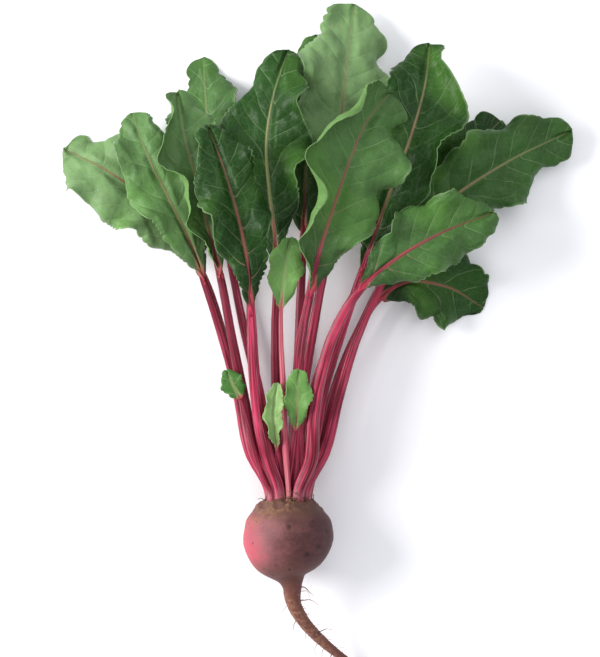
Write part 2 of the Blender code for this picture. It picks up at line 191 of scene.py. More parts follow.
# Dark marks on the root's upper side: their place seen from above, and radius
MARKS_ABOVE = 30.0
MARK_CORE = 0.8
MARK_FADE = 1.2
MARK_RAGGED = 1.6
SKIN_SPOTS = ((0.4, 13.3, 2.0), (12.5, -5.6, 2.7), (20.5, -0.9, 2.4), (26.0, 9.0, 1.6))

# Stalks and the midribs that they become; a ridge is a count round the stalk, height and shift
STALK_FLATNESS = 0.86
STALK_FOOT = 0.8
STALK_FULL_AT = 35.0
STALK_END = 0.66
STALK_NARROWS_AT = 0.9
STALK_TIP = 0.3
RIB_THIN_AT = 0.35
RIB_THIN = 0.24
RIB_TIP = 0.2
STALK_SUNK = 3.0
LOOK_ASIDE = 1.0
STALK_REACH = 0.985
STALK_RINGS = 150
YOUNG_STALK_RINGS = 90
STALK_SIDES = 40
STALK_LOWEST = 0.2
STALK_RIDGES = ((3.5, 0.07, 1), (17, 0.02, 2))
STALK_WOBBLES = ((0.22, 30.0), (0.10, 5.0))
GROOVE_DEPTH = 0.22
GROOVE_WIDTH = 0.5
GROOVE_HALF_AT = 0.4
GROOVE_DEPTHS = (0.0, 0.5, 1.0, 0.3)

# Blades: the room that they keep to, their lobes and ripples, their tip, teeth and frill
LOWEST = 0.5
BOX_EDGE = 4.0
LOBE = 0.11
LOBE_RATE = 1.3
RIPPLE = 0.35
RIPPLE_RATE = 2.3
TIP_ROUNDING = 0.085
LEAST_HALF_WIDTH = 0.5
TEETH_FROM = 0.72
TOOTH_HEIGHT = 2.2
TOOTH_LENGTH = 6.4
TOOTH_ROUNDNESS = 0.7
TOOTH_MIDDLE = 0.6
TOOTH_DRIFTS = ((9.7, 0.8), (4.3, 0.5))
TOOTH_VARIED = (0.7, 0.5, 11.3)
FRILL_HEIGHT = 1.5
FRILL_LENGTH = 3.4
FRILL_DRIFT = 1.5
FRILL_VARIED = (0.6, 0.4, 13.0)
FRILL_FULL_WIDTH = 10.0
YOUNG_MARGIN = 0.45
FOLD_LEFT_AT_TIP = 0.35
FOLD_ROOM = 0.25
SECTION_STEPS = 32
BLADE_THICKNESS = 0.5
BLADE_SEAT = 0.35
BLADE_GRID = (132, 60)
YOUNG_GRID = (64, 36)

# A blade's relief: its height, the size of its lumps and the seed of its noise
BLISTERS = (0.6, 7.5, 0.0)
FINE_BLISTERS = (0.24, 3.2, 0.0)
CRUMPLE = (2.9, 20.0, 2.0)
CREASES = (3.6, 17.0, 4.0)
CREASE_HEIGHT = 1.8
CREASE_STRETCH = (1.0, 0.6, 1.0)
QUILT_HEIGHT = 0.7
QUILT_ROUNDNESS = 0.7
YOUNG_RELIEF = 0.4
RIB_FLANK = (0.04, 0.25)
EDGE_FLANK = (0.8, 1.0)
RELIEF_AT_RIB = 0.2

# Side veins: their spacing along the midrib, how they lean and bend to the tip, and their drift
VEIN_SPACING = 16.0
VEIN_LEAN = 0.8
VEIN_SLANT = 0.78
VEIN_BEND = 0.010
VEIN_DRIFT = (0.75, 26.0, 6.0)
VEIN_STRETCH = (0.5, 1.0, 1.0)
VEIN_STAGGER = (-3.0, 3.0)


@dataclass
class Leaf:
    """One leaf: its foot's place on the crown, and the route that it takes on to its tip.

    The blade starts at the route's point number base. Pairs are for the left and right halves:
    the angle at which each leaves the midrib, how much that angle changes out to the edge, and
    where its waves begin. Roll turns the leaf about its own line, at the blade's foot and tip.
    The higher the taper, the more the blade narrows to its foot and to its tip.
    """

    name: str
    turn: float
    ring: float
    thickness: float
    base: int
    half_width: float
    route: list
    roll: tuple = (5, 5)
    lift: tuple = (14, 10)
    curl: tuple = (-16, -18)
    wave: float = 45.0
    waves: float = 2.8
    phase: tuple = (0.0, 2.2)
    fullest: float = 0.62
    taper: float = 1.9
    young: bool = False


LEAVES = [
    Leaf("front_left", 118, 13.3, 9.2, 3, 24,
         [(-13, 56, 42), (-19, 81, 47), (-23, 115, 52), (-25, 155, 57), (-27, 186, 61),
          (-33, 218, 66), (-42, 250, 67), (-54, 282, 57)],
         roll=(4, 20), lift=(38, 34), curl=(-52, -62), wave=56, waves=2.4, phase=(0.4, 1.9),
         taper=2.1),
    Leaf("front_middle", 40, 5.0, 8.4, 3, 37,
         [(6, 57, 33), (6, 95, 40), (8, 135, 48), (14, 168, 56), (19, 192, 62), (29, 224, 69),
          (40, 256, 72), (53, 286, 66), (69, 306, 52)],
         roll=(6, 2), lift=(18, 10), curl=(130, -40), wave=52, waves=2.6, phase=(1.0, 3.1)),
    Leaf("front_right", 60, 13.3, 9.2, 4, 27,
         [(15, 57, 42), (17, 88, 47), (23, 120, 53), (33, 149, 57), (45, 169, 60), (69, 191, 63),
          (101, 210, 61), (138, 225, 48)],
         roll=(-6, -4), lift=(16, 8), curl=(-22, -62), wave=54, waves=2.5, phase=(2.0, 0.6),
         taper=2.2),
    Leaf("side_left", 151, 13.3, 7.8, 3, 25,
         [(-24, 63, 33), (-31, 101, 36), (-39, 142, 39), (-46, 180, 41), (-55, 216, 43),
          (-63, 248, 46), (-71, 279, 45), (-76, 308, 35)],
         roll=(8, 10), lift=(20, 20), curl=(112, -42), wave=50, waves=2.6, phase=(0.0, 1.3)),
    Leaf("middle_left", 178, 5.8, 7.6, 3, 30,
         [(-5, 56, 28), (-8, 98, 31), (-9, 146, 34), (-8, 180, 36), (-9, 208, 38), (-13, 240, 41),
          (-15, 273, 44), (-10, 306, 44), (0, 337, 34)],
         roll=(0, -20), lift=(-2, 10), curl=(-24, 10), wave=48, waves=2.9, phase=(2.6, 0.2),
         taper=2.6),
    Leaf("middle_top", 255, 6.0, 7.6, 4, 32,
         [(6, 63, 22), (11, 111, 24.5), (19, 159, 27), (27, 200, 29), (32, 226, 28), (34, 252, 28),
          (36, 290, 28), (40, 330, 25), (45, 372, 12)],
         roll=(2, 14), lift=(8, 8), curl=(-24, -34), wave=42, waves=3.1, phase=(1.4, 2.7)),
    Leaf("middle_right", 322, 6.6, 7.6, 3, 33,
         [(15.5, 63, 27), (24, 104, 31), (37, 146, 34), (49, 182, 36), (58, 209, 38),
          (71, 245, 45), (84, 280, 46), (93, 313, 41), (97, 342, 27)],
         roll=(4, -8), lift=(14, 8), curl=(-16, 66), wave=44, waves=2.7, phase=(0.5, 5.2),
         taper=2.3),
    Leaf("far_right", 26, 13.3, 7.8, 3, 29,
         [(25, 63, 29.5), (34, 98, 31), (46, 138, 31), (62, 174, 31), (78, 200, 30), (106, 231, 29),
          (148, 260, 25), (196, 284, 11)],
         roll=(0, 12), lift=(8, 10), curl=(-18, -40), wave=54, waves=3.2, phase=(2.2, 1.0)),
    Leaf("far_left", 218, 13.3, 7.8, 3, 31,
         [(-27, 63, 17), (-35, 101, 16), (-46, 144, 16), (-58, 180, 18), (-70, 205, 20),
          (-94, 233, 23), (-123, 254, 20), (-157, 272, -1)],
         roll=(0, 20), lift=(16, 6), curl=(-40, -4), wave=50, waves=2.7, phase=(0.9, 2.4)),
    Leaf("outer_left", 185, 13.3, 7.4, 3, 24,
         [(-27, 63, 25), (-35, 101, 26), (-46, 142, 28), (-57, 176, 30), (-66, 202, 32),
          (-82, 236, 36), (-97, 266, 35), (-108, 295, 22)],
         roll=(8, 8), lift=(10, 6), curl=(-20, -16), wave=42, waves=2.5, phase=(1.5, 0.2),
         taper=2.3),
    Leaf("low_left", 252, 13.3, 7.4, 3, 27,
         [(-13, 62, 10), (-21, 104, 8), (-32, 150, 7), (-40, 190, 8), (-46, 222, 10),
          (-52, 260, 13), (-57, 298, 11), (-60, 336, -1.5)],
         roll=(0, -12), curl=(-24, -24), wave=44, waves=2.9, phase=(1.8, 0.3), taper=2.6),
    Leaf("low_middle", 286, 13.3, 7.4, 3, 29,
         [(3, 62, 9), (6, 111, 7), (8, 164, 7), (10, 208, 8), (11, 236, 10), (13, 272, 13),
          (17, 312, 11), (20, 350, -1.5)],
         roll=(0, 0), curl=(-22, -22), wave=44, waves=3.0, phase=(0.1, 1.6)),
    Leaf("low_right", 319, 13.3, 7.4, 3, 27,
         [(11, 69, 9), (20, 111, 7), (40, 160, 7), (60, 192, 8), (75, 212, 9), (98, 240, 11),
          (122, 266, 9), (148, 292, -1.5)],
         roll=(0, 0), curl=(-22, -22), wave=44, waves=2.6, phase=(2.9, 1.1)),
    Leaf("side_right", 353, 13.3, 7.6, 3, 28,
         [(22, 62, 15), (32, 104, 13), (47, 142, 13), (61, 166, 14), (83, 179, 17), (108, 176, 16),
          (135, 162, -1.5)],
         roll=(0, 0), lift=(10, 10), curl=(-24, -34), wave=46, waves=2.4, phase=(1.2, 2.8)),
    Leaf("young_middle", 90, 12.4, 4.2, 4, 12,
         [(-1.5, 57, 43), (-2.7, 78, 45.5), (-3.6, 108, 48.5), (-5, 139, 50), (-5.1, 157, 50.5),
          (-2.4, 184, 51), (1, 208, 49)],
         roll=(0, 0), lift=(20, 14), curl=(-30, -24), wave=30, waves=2.2, phase=(0.3, 1.7),
         young=True),
    Leaf("young_right", 95, 7.4, 4.4, 1, 9.5,
         [(2, 57, 40), (4.5, 76, 46), (6, 95, 52), (7, 119, 55)],
         roll=(0, 0), lift=(38, 30), curl=(-20, -20), wave=30, waves=2.0, young=True),
    Leaf("young_left", 115, 3.4, 3.2, 1, 7.5,
         [(-4.8, 50, 37), (-7.4, 63, 43), (-9.6, 78, 50), (-10, 93, 53), (-7.5, 110, 51.5)],
         roll=(0, 0), lift=(35, 35), curl=(40, 40), wave=30, waves=3.0, phase=(0.5, 2.0),
         young=True),
    Leaf("young_outer", 134, 17.0, 3.0, 3, 7.8,
         [(-16.5, 42, 41.5), (-22, 60, 43.5), (-27, 80, 44.5), (-32.5, 99, 45), (-37.5, 108, 46),
          (-42, 118, 43)],
         roll=(0, 0), lift=(10, 8), curl=(-30, -24), wave=24, waves=1.6, phase=(0.6, 2.4),
         fullest=0.52, taper=1.3, young=True),
]


# Colours are 8-bit screen values. The root's skin:
SKIN = {
    "umber": (76, 44, 44),
    "brown": (98, 60, 57),
    "dust_and_lit_left": (154, 94, 100),
    "pink_and_lit_left": (190, 74, 92),
    "mauve": (140, 88, 90),
    "band": (74, 42, 44),
    "painted_shade_right": (66, 38, 42),
    "dust": (122, 86, 80),
    "olive": (92, 66, 54),
    "cork": (136, 102, 72),
    "cork dot": (66, 40, 34),
    "low": (98, 62, 52),
    "tail": (104, 64, 54),
    "ochre": (158, 114, 90),
    "spot": (42, 21, 25),
    "grain": (58, 34, 36),
    "mark": (40, 20, 25),
    "ring": (58, 32, 30),
}

# Stalks: deep, lit and pale; the lit tone and the pale streaks are partly painted light
STALK_CRIMSON = ((84, 4, 24), (204, 62, 96), (246, 172, 186))
STALK_BLUSH = ((158, 50, 74), (204, 122, 130), (226, 200, 180))

# Midribs and the veins beside them
STEM_RIB_GREEN = (126, 142, 88)
STEM_RIB_RED = (108, 46, 52)
RIB_GREEN = (132, 150, 100)
RIB_RED = (126, 44, 56)
RIB_FOOT = (170, 36, 70)
VEIN_RED = (118, 48, 54)

# Dry tissue and rootlets
DRY_CRIMSON, DRY_BROWN, DRY_STRAW = (84, 34, 38), (116, 78, 56), (162, 130, 94)
HAIR_PALE, HAIR_DARK = (150, 104, 98), (108, 58, 62)

# Leaves: in folds, deep, fresh, where light shines through, pale, underside
LEAF_GREENS = (
    (10, 28, 6), (24, 56, 14), (50, 96, 32), (84, 132, 48), (150, 178, 128), (104, 140, 78)
)
YOUNG_GREENS = (
    (36, 76, 28), (56, 100, 42), (88, 136, 62), (120, 160, 74), (158, 182, 124), (118, 150, 92)
)

# How pale each leaf is, and how red its midrib: both from 0 to 1
TONES = {
    "front_left": (0.0, 0.8),
    "front_middle": (0.46, 0.7),
    "front_right": (0.38, 1.0),
    "side_left": (0.6, 0.2),
    "middle_left": (0.08, 0.15),
    "middle_top": (0.85, 0.3),
    "middle_right": (0.05, 0.4),
    "far_right": (0.28, 0.3),
    "far_left": (0.8, 0.9),
    "outer_left": (0.6, 0.3),
    "low_left": (0.45, 0.2),
    "low_middle": (0.3, 0.2),
    "low_right": (0.0, 0.3),
    "side_right": (0.05, 0.7),
    "young_middle": (0.5, 0.0),
    "young_right": (0.4, 0.3),
    "young_left": (0.9, 0.0),
    "young_outer": (0.1, 0.2),
}


class Wire:
    """A shader socket that works in Python expressions: each step adds a Math node."""

    def __init__(self, finish, socket):
        self.finish = finish
        self.socket = socket

    def math(self, operation, *others):
        values = dict(enumerate((self, *others)))
        return self.finish.node("Math", {"operation": operation}, values)

    def __add__(self, other):
        return self.math("ADD", other)

    __radd__ = __add__

    def __sub__(self, other):
        return self.math("SUBTRACT", other)

    def __rsub__(self, other):
        return self.finish.node("Math", {"operation": "SUBTRACT"}, {0: other, 1: self})

    def __mul__(self, other):
        return self.math("MULTIPLY", other)

    __rmul__ = __mul__

    def __pow__(self, other):
        return self.math("POWER", other)

    def __abs__(self):
        return self.math("ABSOLUTE")

    def fraction(self):
        return self.math("FRACT")

    def above(self, level):
        return self.math("GREATER_THAN", level)

    def step(self, low, high):
        """0 at low, 1 at high and smooth between, where low may be the larger one."""
        settings = {"interpolation_type": "SMOOTHSTEP"}
        return self.finish.node("MapRange", settings, {0: self, 1: low, 2: high})


class Finish:
    """A material while it is made: node() adds one node, and the rest are short names for it."""

    def __init__(self, name, **constants):
        self.material = bpy.data.materials.new(name)
        self.material.use_nodes = True
        self.tree = self.material.node_tree
        self.shader = self.tree.nodes["Principled BSDF"]
        for key, value in constants.items():
            self.shader.inputs[socket_name(key)].default_value = value

    def node(self, kind, settings=None, inputs=None, output=0):
        made = self.tree.nodes.new("ShaderNode" + kind)
        for key, value in (settings or {}).items():
            setattr(made, key, value)
        for key, value in (inputs or {}).items():
            self.feed(made.inputs[key], value)
        return Wire(self, made.outputs[output])

    def feed(self, socket, value):
        if isinstance(value, Wire):
            self.tree.links.new(value.socket, socket)
        else:
            socket.default_value = value

    def attribute(self, name):
        return self.node("Attribute", {"attribute_name": name}, output="Vector")

    def parts(self, vector):
        split = self.node("SeparateXYZ", inputs={0: vector}).socket.node
        return [Wire(self, split.outputs[axis]) for axis in range(3)]

    def scaled(self, vector, *factors):
        return self.node("VectorMath", {"operation": "MULTIPLY"}, {0: vector, 1: factors})

    def noise(self, vector, scale, detail=2.0, roughness=0.5):
        values = {"Vector": vector, "Scale": scale, "Detail": detail, "Roughness": roughness}
        return self.node("TexNoise", inputs=values)

    def cells(self, vector, scale, feature="DISTANCE_TO_EDGE"):
        return self.node("TexVoronoi", {"feature": feature}, {"Vector": vector, "Scale": scale})

    def mix(self, share, first, second):
        values = {0: share, 6: colour(first), 7: colour(second)}
        return self.node("Mix", {"data_type": "RGBA"}, values, output=2)

    def bump(self, height, strength, distance):
        values = {"Height": height, "Strength": strength, "Distance": distance}
        return self.node("Bump", inputs=values)

    def paint(self, **links):
        for key, value in links.items():
            self.feed(self.shader.inputs[socket_name(key)], value)
        return self.material


def socket_name(key):
    return key.replace("_", " ").title().replace("Ior", "IOR")


def colour(value):
    """A colour as a shader socket wants it: 8-bit screen values made linear, or a wire as it is."""
    if isinstance(value, Wire):
        return value
    linear = [((v / 255 + 0.055) / 1.055) ** 2.4 if v > 10 else v / 255 / 12.92 for v in value]
    return (*linear, 1.0)


def smooth_line(keys, at):
    """Points of a smooth curve through the keys, at these distances along the keys' polygon."""
    keys = np.asarray(keys, float)
    spans = np.linalg.norm(np.diff(keys, axis=0), axis=1)
    place = np.concatenate([[0.0], np.cumsum(spans)])
    chords = np.diff(keys, axis=0) / spans[:, None]
    slopes = np.vstack([chords[:1], chords[:-1], chords[-1:]])
    before, after = spans[:-1, None], spans[1:, None]
    slopes[1:-1] = (chords[:-1] * after + chords[1:] * before) / (before + after)
    at = np.clip(at, 0.0, place[-1])
    span = np.clip(np.searchsorted(place, at, side="right") - 1, 0, len(spans) - 1)
    width = spans[span][:, None]
    u = (at - place[span])[:, None] / width
    return (
        keys[span] * (2 * u**3 - 3 * u**2 + 1)
        + keys[span + 1] * (3 * u**2 - 2 * u**3)
        + slopes[span] * width * (u**3 - 2 * u**2 + u)
        + slopes[span + 1] * width * (u**3 - u**2)
    )


def key_distances(keys):
    """How far along the polygon of the keys each key is."""
    spans = np.linalg.norm(np.diff(np.asarray(keys, float), axis=0), axis=1)
    return np.concatenate([[0.0], np.cumsum(spans)])


def unit(vectors):
    return vectors / np.maximum(np.linalg.norm(vectors, axis=-1, keepdims=True), 1e-9)


def cross_axes(forward):
    """The sideways and upward directions across a line that runs forward."""
    side = unit(np.cross(forward, UP))
    return side, np.cross(side, forward)


def steady_forward(centres, radii):
    """A line's forward directions, averaged over about a radius so that wide rings don't cross."""
    at = key_distances(centres)
    spread = STEADY_SHARE * radii[:, None] + STEADY_LEAST
    weight = np.exp(-(((at[:, None] - at) / spread) ** 2)) * np.gradient(at)
    return unit(weight @ unit(np.gradient(centres, axis=0)))


def rolled(side, up, degrees):
    """The side and up directions turned about the line, so that the right side goes down."""
    turn = np.radians(degrees)[:, None]
    return side * np.cos(turn) - up * np.sin(turn), up * np.cos(turn) + side * np.sin(turn)


def grid_normals(points):
    """Upward normals of a sheet of points[row][column]."""
    return unit(np.cross(np.gradient(points, axis=1), np.gradient(points, axis=0)))


def smooth_step(low, high, value):
    u = np.clip((value - low) / (high - low), 0, 1)
    return u * u * (3 - 2 * u)


def relief(points, height, size, seed):
    """Smooth noise of about this height at points in millimetres, in lumps of about this size."""
    flat = points.reshape(-1, 3) / size + seed
    values = [noise.noise(Vector(point)) for point in flat]
    return height * np.array(values).reshape(points.shape[:-1])


def seamless(values):
    """Values round rings of points, with each ring's last value made its first again."""
    values[:, -1] = values[:, 0]
    return values


def mapped_grid(points, layers):
    """A bmesh grid with its corners at points[row][column], and these vector layers."""
    rows, columns = points.shape[0] - 1, points.shape[1] - 1
    bm = bmesh.new()
    bmesh.ops.create_grid(bm, x_segments=columns, y_segments=rows, size=1.0)
    kept = {name: bm.verts.layers.float_vector.new(name) for name in layers}
    place = bm.verts.layers.int.new("place")
    for vert in bm.verts:
        column = round((vert.co.x + 1.0) / 2.0 * columns)
        row = round((vert.co.y + 1.0) / 2.0 * rows)
        vert[place] = row * (columns + 1) + column
        vert.co = Vector(points[row][column]) * MM
        for name, layer in kept.items():
            vert[layer] = Vector(layers[name][row][column])
    return bm


def sheet(points, thickness, layers):
    """A closed thin bmesh on a sheet of points. The third value of layer leaf is 1 underneath."""
    normals = grid_normals(points)
    bm = mapped_grid(points + normals * thickness / 2, layers)
    place, leaf = bm.verts.layers.int["place"], bm.verts.layers.float_vector["leaf"]
    below = (points - normals * thickness / 2).reshape(-1, 3) * MM
    made = bmesh.ops.extrude_face_region(bm, geom=bm.faces[:], use_keep_orig=True)
    for vert in made["geom"]:
        if isinstance(vert, bmesh.types.BMVert):
            vert.co = Vector(below[vert[place]])
            vert[leaf] = Vector((*vert[leaf][:2], 1.0))
    bmesh.ops.recalc_face_normals(bm, faces=bm.faces)
    return bm


def tube(rings, layers):
    """A closed bmesh through rings of points, each ring with its first point again at its end."""
    bm = mapped_grid(rings, layers)
    bmesh.ops.remove_doubles(bm, verts=bm.verts, dist=SAME_POINT * MM)
    bmesh.ops.holes_fill(bm, edges=bm.edges, sides=0)
    bmesh.ops.recalc_face_normals(bm, faces=bm.faces)
    return bm


def piece(bm, name, material, slot, *nodes):
    """A piece of the beetroot made from a bmesh, in place of nodes of the frame."""
    if "place" in bm.verts.layers.int:
        bm.verts.layers.int.remove(bm.verts.layers.int["place"])
    mesh = bpy.data.meshes.new(name)
    bm.to_mesh(mesh)
    bm.free()
    mesh.materials.append(material)
    mesh.shade_smooth()
    made = bpy.data.objects.new(name, mesh)
    bpy.context.scene.collection.objects.link(made)
    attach(made, "root")
    if nodes:
        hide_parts(*nodes)


def axis_point(y):
    """The point of the root's straight axis at this distance along +Y."""
    return np.array([0.0, y, BULB_HEIGHT - AXIS_DROP * y])


def crown_point(turn, ring, height):
    """A point over the crown, at this turn and distance from its middle and this height."""
    axis = unit(np.array([0.0, 1.0, -AXIS_DROP]))
    rise = np.array([0.0, -axis[2], axis[1]])
    angle = math.radians(turn)
    out = np.array([math.cos(angle), 0.0, 0.0]) + rise * math.sin(angle)
    return axis_point(CROWN_Y) + axis * height + out * ring


def ring_points(centres, side, up, radii, turns):
    """Rings of points about a line; radii is given for each ring and turn."""
    spokes = side[:, None] * np.cos(turns)[:, None] + up[:, None] * np.sin(turns)[:, None]
    return centres[:, None] + spokes * radii[:, :, None]


def root_line():
    """Centre points and radii along the root, from the middle of the crown to the taproot's tip."""
    keys = np.array([(*axis_point(y), radius) for y, radius in BULB_PROFILE] + TAPROOT)
    places = key_distances(keys)
    at = np.interp(np.linspace(0, len(keys) - 1, ROOT_RINGS), np.arange(len(keys)), places)
    line = smooth_line(keys, at)
    centres, radii = line[:, :3], np.maximum(line[:, 3], 0.0)
    radii[0] = radii[-1] = 0.0
    return centres, radii


def skin_relief(skin, run, radii):
    """How far the skin stands out: soft lumps, a corky shoulder, rings and knobs on the taproot."""
    broad = smooth_step(*BROAD_RADII, radii)
    below = 1 - smooth_step(*BULB_FROM, run)
    patchy = smooth_step(*PATCHY_FROM, relief(skin, *CORK_PATCHES))
    corky = smooth_step(*CORK_FROM, skin[..., 1]) * patchy
    swollen = smooth_step(*SWELL_FROM, run) * smooth_step(*SWELL_RADII, radii)
    ring_height, ring_rate = RINGS
    rings = ring_height * np.sin(run * ring_rate + relief(skin, *RING_DRIFT))
    return (
        broad * relief(skin, *ROLLS)
        + relief(skin, *PITS)
        + corky * np.abs(relief(skin, *CORK))
        + swollen * (SWELL_HEIGHT + relief(skin, *SWELL))
        + rings * below * smooth_step(*RINGED_RADII, radii)
        + below * broad**0.3 * relief(skin, *KNOBS)
    )


def rim_push(skin, run, radii):
    """How far the crown's lumpy rim is pushed out among the stalks' feet."""
    rim = smooth_step(*RIM_RADII, radii) * smooth_step(*RIM_FROM, run)
    return rim * (RIM_HEIGHT + relief(skin, *RIM_BROAD) + relief(skin, *RIM_FINE))


def root_rings():
    """The root's skin as rings of points about its line."""
    centres, radii = root_line()
    side, up = cross_axes(steady_forward(centres, radii))
    turns = np.linspace(0, TURN, ROOT_SIDES + 1)
    run, radii = centres[:, 1:2], radii[:, None]
    waves = [size * np.cos(count * turns + run / LUMP_TWIST) for count, size in LUMPS]
    skin = ring_points(centres, side, up, radii * (1 + sum(waves)), turns)
    out = unit(skin - centres[:, None])
    raised = seamless(skin_relief(skin, run, radii)) * np.minimum(1, radii / SMOOTH_UNDER)
    pushed = seamless(rim_push(skin, run, radii))
    raised[0] = raised[-1] = 0.0
    skin = skin + out * raised[..., None]
    skin[..., 1] += pushed
    skin[..., 2] = np.maximum(skin[..., 2], 0.0)
    return skin


def make_root(material):
    piece(tube(root_rings(), {}), "beetroot", material, "root_skin", "root")


def sprig(points, radii, sides):
    """A thin closed tapering tube through a few points."""
    side, up = cross_axes(unit(np.gradient(points, axis=0)))
    turns = np.linspace(0, TURN, sides + 1)
    return tube(ring_points(points, side, up, np.outer(radii, np.ones(sides + 1)), turns), {})


def joined(parts):
    """One bmesh of several closed ones."""
    whole = bmesh.new()
    for part in parts:
        mesh = bpy.data.meshes.new("part")
        part.to_mesh(mesh)
        part.free()
        whole.from_mesh(mesh)
        bpy.data.meshes.remove(mesh)
    return whole


def rootlet(share, turn, length, thickness, steps, curl):
    """A fine root that leaves the taproot sideways, bends back towards its tip and curls."""
    keys = np.array(TAPROOT)
    at = share * key_distances(keys[:, :3])[-1]
    near, far = smooth_line(keys, np.array([at, at + ROOTLET_AHEAD]))
    forward = unit(far[:3] - near[:3])
    side, up = cross_axes(forward)
    angle = math.radians(turn)
    out = side * math.cos(angle) + up * math.sin(angle)
    start = near[:3] + out * max(0.0, near[3] - ROOTLET_SUNK)
    reach = np.linspace(0, 1, steps)
    path = np.outer(reach, out) + np.outer(ROOTLET_LEAN * reach**2, forward)
    path = path - np.outer(ROOTLET_DROOP * reach**1.5, UP)
    swing = curl * length * reach * np.sin(reach * ROOTLET_SWINGS + turn)
    path = start + length * path + np.outer(swing, np.cross(out, UP) + ROOTLET_SLANT * forward)
    path[:, 2] = np.maximum(path[:, 2], ROOTLET_LOWEST * (1 + thickness))
    radii = thickness / 2 * np.interp(reach, ROOTLET_PLACES, ROOTLET_TAPER)
    return sprig(path, radii, ROOTLET_SIDES)


def make_rootlets(material):
    parts = [rootlet(*one, ROOTLET_STEPS, ROOTLET_CURL) for one in ROOTLETS]
    for _ in range(HAIRS):
        share = draws.uniform(*HAIR_SHARES)
        turn = draws.choice((0, 180)) + draws.uniform(*HAIR_SPREAD)
        length = draws.uniform(*HAIR_LENGTHS) * (1 - HAIR_SHRINK * share)
        width = draws.uniform(*HAIR_WIDTHS)
        parts.append(rootlet(share, turn, length, width, HAIR_STEPS, HAIR_CURL))
    piece(joined(parts), "rootlets", material, "root_skin")


def leaf_keys(leaf):
    """The leaf's route from its foot on the crown to its tip, and where its blade starts."""
    foot = crown_point(leaf.turn, leaf.ring, STALK_GAP)
    rise = crown_point(leaf.turn, leaf.ring, STALK_GAP + STALK_RISE)
    keys = np.array([foot, rise, *leaf.route], float)
    return keys, key_distances(keys)[leaf.base + 2]


def stalk_radius(leaf, at, start, end):
    """Half the width of the stalk, and of the midrib that it becomes, at distances along it."""
    half = leaf.thickness / 2
    places = [0, STALK_FULL_AT, start, start + RIB_THIN_AT * (end - start), end]
    radii = [STALK_FOOT * half, half, STALK_END * half, RIB_THIN * half, RIB_TIP]
    return np.interp(at, places, radii)


def leaf_line(leaf, at):
    """Centre points of the stalk and midrib, with their side and up directions."""
    keys, start = leaf_keys(leaf)
    end = key_distances(keys)[-1]
    points = smooth_line(keys, at)
    before, after = np.clip(at - LOOK_ASIDE, 0, end), np.clip(at + LOOK_ASIDE, 0, end)
    forward = unit(smooth_line(keys, after) - smooth_line(keys, before))
    roll = np.interp(at, [0, start, end], [0, *leaf.roll])
    return points, *rolled(*cross_axes(forward), roll)


def outline(leaf, along):
    """Half the blade's width along it, from its foot on the stalk to its rounded tip."""
    low, high = leaf.taper * leaf.fullest, leaf.taper * (1 - leaf.fullest)
    peak = leaf.fullest**low * (1 - leaf.fullest) ** high
    left = np.clip(1 - along, 0, 1)
    cap = np.minimum(left / TIP_ROUNDING, 1)
    full = along**low * np.maximum(left, TIP_ROUNDING) ** high * np.sqrt(cap * (2 - cap)) / peak
    return np.maximum(leaf.half_width * full, LEAST_HALF_WIDTH)


def half_blade(leaf, hand, along, shares, length):
    """One half of a blade: out and up from the midrib, and its width, as [row][share across].

    Each row leaves the midrib at the leaf's lift, and its slope then changes by curl and waves.
    """
    phase = leaf.phase[hand]
    turns = TURN * leaf.waves * along
    waves = np.sin(turns + phase) + RIPPLE * np.sin(RIPPLE_RATE * turns + 3 * phase)
    fold = leaf.lift[hand] * (1 - (1 - FOLD_LEFT_AT_TIP) * along)
    fine = np.linspace(0, 1, SECTION_STEPS + 1)
    slope = np.outer(fold, np.minimum(1, fine / FOLD_ROOM))
    slope = np.radians(slope + np.outer(leaf.curl[hand] + leaf.wave * waves, fine**2))
    slope = (slope[:, 1:] + slope[:, :-1]) / 2
    shape = np.exp(1j * slope).cumsum(axis=1) / SECTION_STEPS
    shape = np.hstack([np.zeros((len(along), 1)), shape])
    shape = np.array([np.interp(shares, fine, row) for row in shape])
    teeth, frill = margin(leaf, hand, along * length)
    width = outline(leaf, along)
    reach = width * (1 + LOBE * np.sin(LOBE_RATE * turns + 2 * phase))
    reach = reach[:, None] + np.outer(teeth, smooth_step(TEETH_FROM, 1.0, shares))
    frill = frill * np.minimum(1, width / FRILL_FULL_WIDTH)
    rise = shape.imag * reach + np.outer(frill, shares**4)
    return shape.real * reach, rise, reach


def varied(run, level, swing, length, shift):
    """A strength that rises and falls along a run of edge."""
    return level + swing * np.sin(run / length + shift)


def margin(leaf, hand, run):
    """The edge's small irregular teeth and its tight frill, in millimetres, along a run of edge."""
    size = YOUNG_MARGIN if leaf.young else 1.0
    drifts = zip(TOOTH_DRIFTS, (5 * leaf.phase[hand], leaf.ring))
    drift = sum(height * np.sin(run / length + phase) for (length, height), phase in drifts)
    tooth = np.abs(np.sin(math.pi * (run / (TOOTH_LENGTH * size**0.5) + drift))) ** TOOTH_ROUNDNESS
    teeth = TOOTH_HEIGHT * (tooth - TOOTH_MIDDLE)
    teeth = teeth * varied(run, *TOOTH_VARIED, 2 * leaf.phase[hand] + hand)
    frill = FRILL_HEIGHT * np.sin(run / (FRILL_LENGTH * size**0.5) + FRILL_DRIFT * drift)
    frill = frill * varied(run, *FRILL_VARIED, hand)
    return size * teeth, size * frill


def kept_in(points):
    """Points on or over the floor, and pressed softly back into the solids' box near its sides."""
    low, high = np.array(solid_box) / MM
    middle, half = (low + high) / 2, (high - low) / 2 - BOX_EDGE
    away = points - middle
    out = np.abs(away)
    past = np.maximum(out - half, 0)
    inside = middle + np.sign(away) * (np.minimum(out, half) + BOX_EDGE * np.tanh(past / BOX_EDGE))
    inside[..., 2] = np.maximum(points[..., 2], LOWEST)
    return inside


